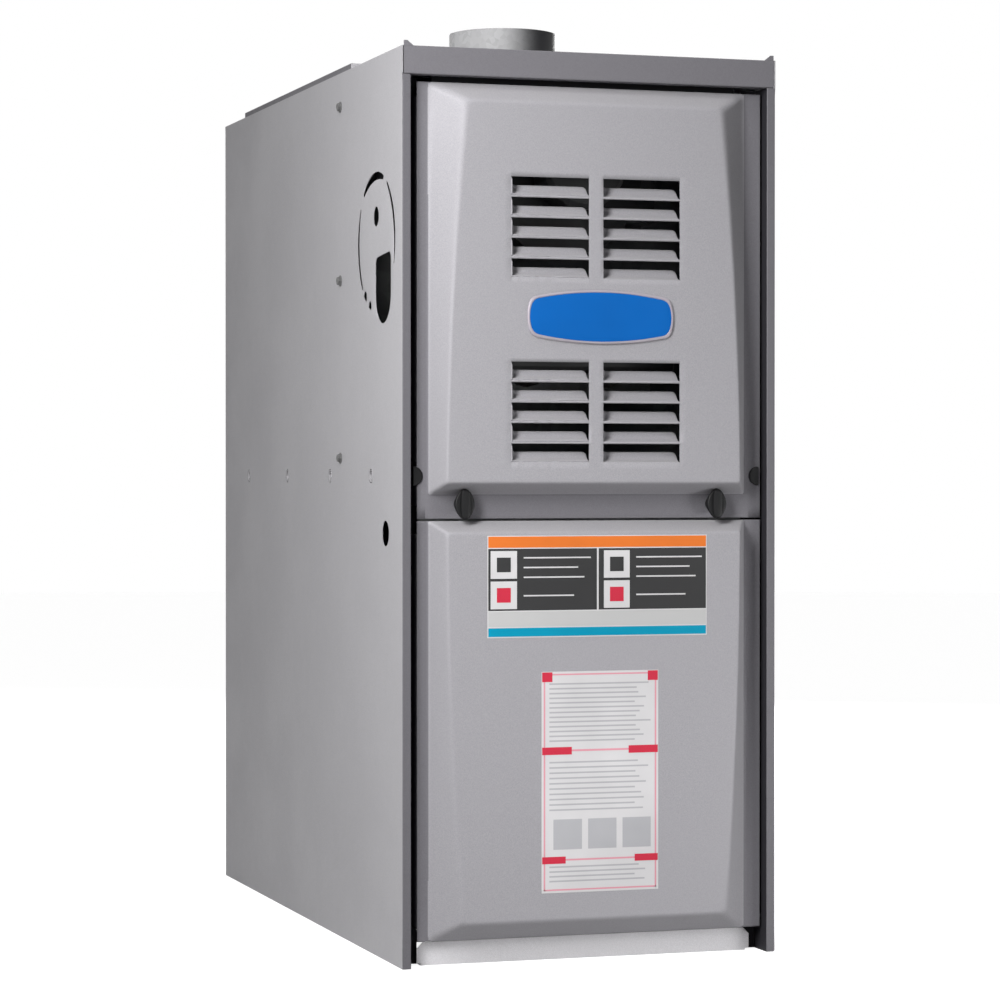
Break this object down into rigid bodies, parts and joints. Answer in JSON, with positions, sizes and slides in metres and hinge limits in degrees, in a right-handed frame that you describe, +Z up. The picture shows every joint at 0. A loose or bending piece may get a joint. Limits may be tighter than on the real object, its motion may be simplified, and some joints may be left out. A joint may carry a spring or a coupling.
{
  "type": "forced air gas furnace",
  "caption": "Narrow upflow gas furnace: steel cabinet, louvred upper door, plain lower door, quarter-turn knobs, flue collar on top, blower, burners and heat exchanger inside.",
  "frame": {"origin": "middle of the footprint at floor level", "axes": "+Z up, the doors face -Y, +X to the right when looking at the doors"},
  "size_m": [0.368, 0.735, 0.8765],
  "materials": {
    "painted_steel": "silver-grey semi-gloss metallic paint",
    "galvanised_steel": "galvanised sheet, satin",
    "aluminised_steel": "aluminised sheet, dull",
    "foil_insulation": "foil-faced glass fibre",
    "black_plastic": "moulded, matt",
    "black_paint": "black paint, satin",
    "grey_casting": "die-cast, matt",
    "capacitor_can": "drawn can, satin",
    "blue_plastic": "moulded, glossy",
    "red_plastic": "moulded, glossy",
    "white_ceramic": "unglazed ceramic",
    "black_rubber": "matt",
    "circuit_board": "solder mask with moulded relays",
    "transformer_steel": "varnished laminations"
  },
  "bodies": {
    "cabinet": {"left_panel": "painted_steel", "right_panel": "painted_steel", "back_panel": "painted_steel", "top_rail": "painted_steel", "top_panel": "painted_steel", "supply_flange_left": "galvanised_steel", "supply_flange_right": "galvanised_steel", "supply_flange_back": "galvanised_steel", "flue_collar": "galvanised_steel", "base_pan": "galvanised_steel", "latch_rail": "galvanised_steel", "blower_deck": "galvanised_steel", "vestibule_panel": "galvanised_steel", "liner_left": "foil_insulation", "liner_right": "foil_insulation", "liner_back": "foil_insulation", "exchanger_tube_1": "aluminised_steel", "exchanger_tube_2": "aluminised_steel", "exchanger_tube_3": "aluminised_steel", "collector_box": "aluminised_steel", "inducer_housing": "black_paint", "inducer_motor": "grey_casting", "vent_adapter": "galvanised_steel", "burner_rack": "galvanised_steel", "burner_1": "aluminised_steel", "burner_2": "aluminised_steel", "burner_3": "aluminised_steel", "gas_manifold": "black_paint", "gas_valve": "grey_casting", "igniter": "white_ceramic", "flame_sensor": "white_ceramic", "limit_switch": "black_plastic", "rollout_switch": "black_plastic", "pressure_switch": "black_plastic", "pressure_hose": "black_rubber", "blower_scroll": "galvanised_steel", "blower_side_left": "galvanised_steel", "blower_side_right": "galvanised_steel", "blower_motor": "black_paint", "motor_mount": "galvanised_steel", "capacitor": "capacitor_can", "control_bracket": "galvanised_steel", "control_board": "circuit_board", "transformer": "transformer_steel", "door_switch": "black_plastic"},
    "upper_door": {"upper_door": "painted_steel"},
    "lower_door": {"lower_door": "painted_steel"},
    "knob_left": {"knob_left": "black_plastic", "latch_arm_left": "galvanised_steel"},
    "knob_right": {"knob_right": "black_plastic", "latch_arm_right": "galvanised_steel"},
    "blower_wheel": {"blower_wheel": "galvanised_steel"},
    "inducer_wheel": {"inducer_wheel": "aluminised_steel"},
    "gas_cock": {"gas_cock": "blue_plastic"},
    "reset_button": {"reset_button": "red_plastic"},
    "door_plunger": {"door_plunger": "black_plastic"}
  },
  "joints": [
    {"name": "upper_door_tilt", "type": "hinge", "parent": "cabinet", "child": "upper_door", "pos_m": [0, -0.3365, 0.808], "axis": [-1, 0, 0], "range_deg": [0, 30]},
    {"name": "lower_door_tilt", "type": "hinge", "parent": "cabinet", "child": "lower_door", "pos_m": [0, -0.3365, 0.026], "axis": [1, 0, 0], "range_deg": [0, 25]},
    {"name": "knob_left_turn", "type": "hinge", "parent": "upper_door", "child": "knob_left", "pos_m": [-0.1244, -0.3455, 0.427], "axis": [0, -1, 0], "range_deg": [0, 90]},
    {"name": "knob_right_turn", "type": "hinge", "parent": "upper_door", "child": "knob_right", "pos_m": [0.1244, -0.3455, 0.427], "axis": [0, 1, 0], "range_deg": [0, 90]},
    {"name": "blower_spin", "type": "hinge", "parent": "cabinet", "child": "blower_wheel", "pos_m": [0, 0.0655, 0.215], "axis": [1, 0, 0], "continuous": true},
    {"name": "inducer_spin", "type": "hinge", "parent": "cabinet", "child": "inducer_wheel", "pos_m": [0.009, -0.2331, 0.746], "axis": [0, -1, 0], "continuous": true},
    {"name": "gas_cock_turn", "type": "hinge", "parent": "cabinet", "child": "gas_cock", "pos_m": [-0.127, -0.291, 0.675], "axis": [0, 0, 1], "range_deg": [0, 90]},
    {"name": "reset_press", "type": "slide", "parent": "cabinet", "child": "reset_button", "axis": [0, 1, 0], "range_m": [0, 0.0015], "stiffness_N_per_m": 400},
    {"name": "door_plunger_slide", "type": "slide", "parent": "cabinet", "child": "door_plunger", "axis": [0, -1, 0], "range_m": [0, 0.0041]}
  ],
  "couplings": [
    {"joint": "door_plunger_slide", "follows": "lower_door_tilt", "m_per_rad": 0.0092}
  ]
}
